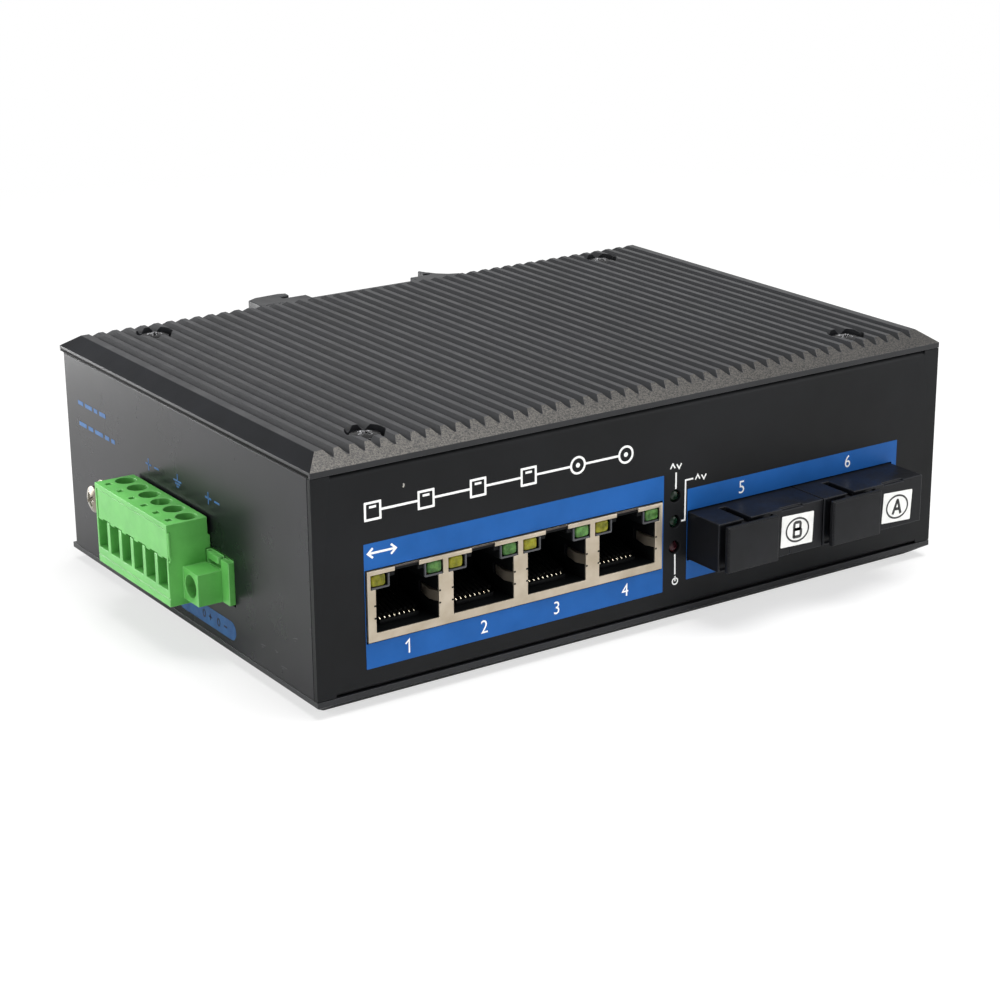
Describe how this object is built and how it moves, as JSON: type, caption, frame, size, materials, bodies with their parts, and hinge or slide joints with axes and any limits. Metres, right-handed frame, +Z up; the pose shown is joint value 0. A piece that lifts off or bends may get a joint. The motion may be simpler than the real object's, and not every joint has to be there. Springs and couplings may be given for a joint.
{
  "type": "din rail ethernet switch",
  "caption": "Low black ribbed metal box with a row of shielded network sockets, two capped fibre modules, a green plug-in power terminal on one end and a rail bracket behind.",
  "frame": {"origin": "centre of the case footprint, on the underside of the bottom plate", "axes": "+X along the long side with the port numbers rising, +Y from the port face to the rail bracket, +Z up through the ribbed cover"},
  "size_m": [0.1538, 0.1233, 0.048],
  "materials": {
    "black_anodised": "black anodised, satin",
    "black_sheet": "black powder paint, fine satin",
    "zinc_steel": "zinc plated",
    "black_screw": "black oxide",
    "board_green": "solder mask on glass laminate",
    "chip_black": "moulded",
    "bare_aluminium": "as extruded",
    "can_sleeve": "printed sleeve",
    "ferrite": "sintered",
    "nickel_shield": "warm nickel plate",
    "port_plastic": "moulded",
    "gold_contact": "gold flash",
    "lamp_yellow": "tinted, unlit",
    "lamp_green": "tinted, unlit",
    "lamp_dark_green": "tinted, unlit",
    "lamp_dark_red": "tinted, unlit",
    "module_plastic": "moulded, fine texture",
    "cap_rubber": "soft matt",
    "ceramic_white": "polished",
    "label_paper": "printed white paper",
    "terminal_green": "moulded",
    "tin_pin": "tin plate"
  },
  "bodies": {
    "root": {"heatsink_cover": "black_anodised", "base_plate": "black_anodised", "front_panel": "black_sheet", "rear_wrap": "black_sheet", "press_nuts": "zinc_steel", "cover_screws": "black_screw", "base_screws": "black_screw", "main_board": "board_green", "board_standoffs": "tin_pin", "board_screws": "zinc_steel", "switch_chip": "chip_black", "chip_heatsink": "bare_aluminium", "fibre_driver_chips": "chip_black", "power_inductor": "ferrite", "smoothing_capacitors": "can_sleeve", "rj45_shield": "nickel_shield", "rj45_housing": "port_plastic", "rj45_contacts": "gold_contact", "port_lamps_yellow": "lamp_yellow", "port_lamps_green": "lamp_green", "lamp_holder": "port_plastic", "link_lamp_upper": "lamp_dark_green", "link_lamp_lower": "lamp_dark_green", "power_lamp": "lamp_dark_red", "fibre_transceiver_5": "module_plastic", "fibre_transceiver_6": "module_plastic", "fibre_sleeve_5": "ceramic_white", "fibre_sleeve_6": "ceramic_white", "dust_cap_5": "cap_rubber", "dust_cap_6": "cap_rubber", "port_label_5": "label_paper", "port_label_6": "label_paper", "terminal_header": "terminal_green", "header_pins": "tin_pin", "terminal_plug_body": "terminal_green", "terminal_plug_cover": "terminal_green", "clamp_screws": "zinc_steel", "clamp_cages": "zinc_steel", "flange_screws": "zinc_steel", "ground_washers": "zinc_steel", "ground_screw": "zinc_steel", "ground_nut": "zinc_steel", "rail_bracket": "black_anodised", "bracket_screws": "black_screw", "rail_spring": "zinc_steel"}
  },
  "joints": []
}
